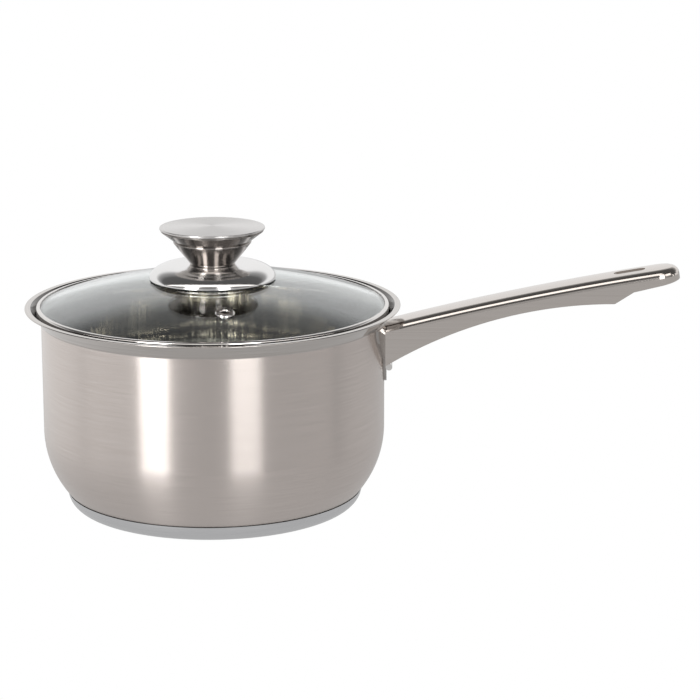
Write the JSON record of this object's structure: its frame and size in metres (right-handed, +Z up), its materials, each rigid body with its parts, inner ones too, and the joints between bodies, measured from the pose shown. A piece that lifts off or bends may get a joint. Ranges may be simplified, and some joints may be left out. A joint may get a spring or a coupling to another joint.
{
  "type": "saucepan with glass lid",
  "caption": "Round steel saucepan with a bonded disc base, a long hollow pressed handle and a lift-off framed glass lid with a steam vent and a hollow steel knob.",
  "frame": {"origin": "centre of the base's underside, on the pan's axis", "axes": "+Z up along the pan's axis, +X along the handle towards its tip, +Y to the left of the handle"},
  "size_m": [0.335, 0.1924, 0.1456],
  "materials": {
    "pan_steel": "satin outside, polished inside and on the brim",
    "base_aluminium": "as cast, enclosed",
    "base_steel": "satin, circularly brushed",
    "plate_steel": "polished",
    "handle_steel": "satin with polished shoulders",
    "bracket_steel": "bright",
    "lid_glass": "clear tempered glass",
    "band_steel": "polished steel",
    "vent_steel": "polished steel",
    "knob_plate_chrome": "mirror polished steel",
    "knob_chrome": "mirror polished steel",
    "knob_cap_steel": "satin, circularly brushed top",
    "zinc_steel": "bright zinc plated",
    "seal_rubber": "matt silicone rubber"
  },
  "bodies": {
    "pan": {"pan_body": "pan_steel", "base_core": "base_aluminium", "base_cap": "base_steel", "handle_plate": "plate_steel", "handle_shell": "handle_steel", "handle_bracket": "bracket_steel"},
    "lid": {"lid_glass": "lid_glass", "lid_band": "band_steel", "vent_eyelet": "vent_steel", "vent_washer": "vent_steel", "knob_plate": "knob_plate_chrome", "plate_seal": "seal_rubber", "upper_seal": "seal_rubber", "spacer_tube": "zinc_steel", "screw_grommet": "seal_rubber", "flat_washer": "zinc_steel", "spring_washer": "zinc_steel", "knob_screw": "zinc_steel", "knob_stem": "knob_chrome", "knob_flare": "knob_chrome", "knob_cap": "knob_cap_steel", "knob_boss": "zinc_steel"}
  },
  "joints": [
    {"name": "lid_lift", "type": "slide", "parent": "pan", "child": "lid", "axis": [0, 0, 1], "range_m": [0, 0.12]}
  ]
}
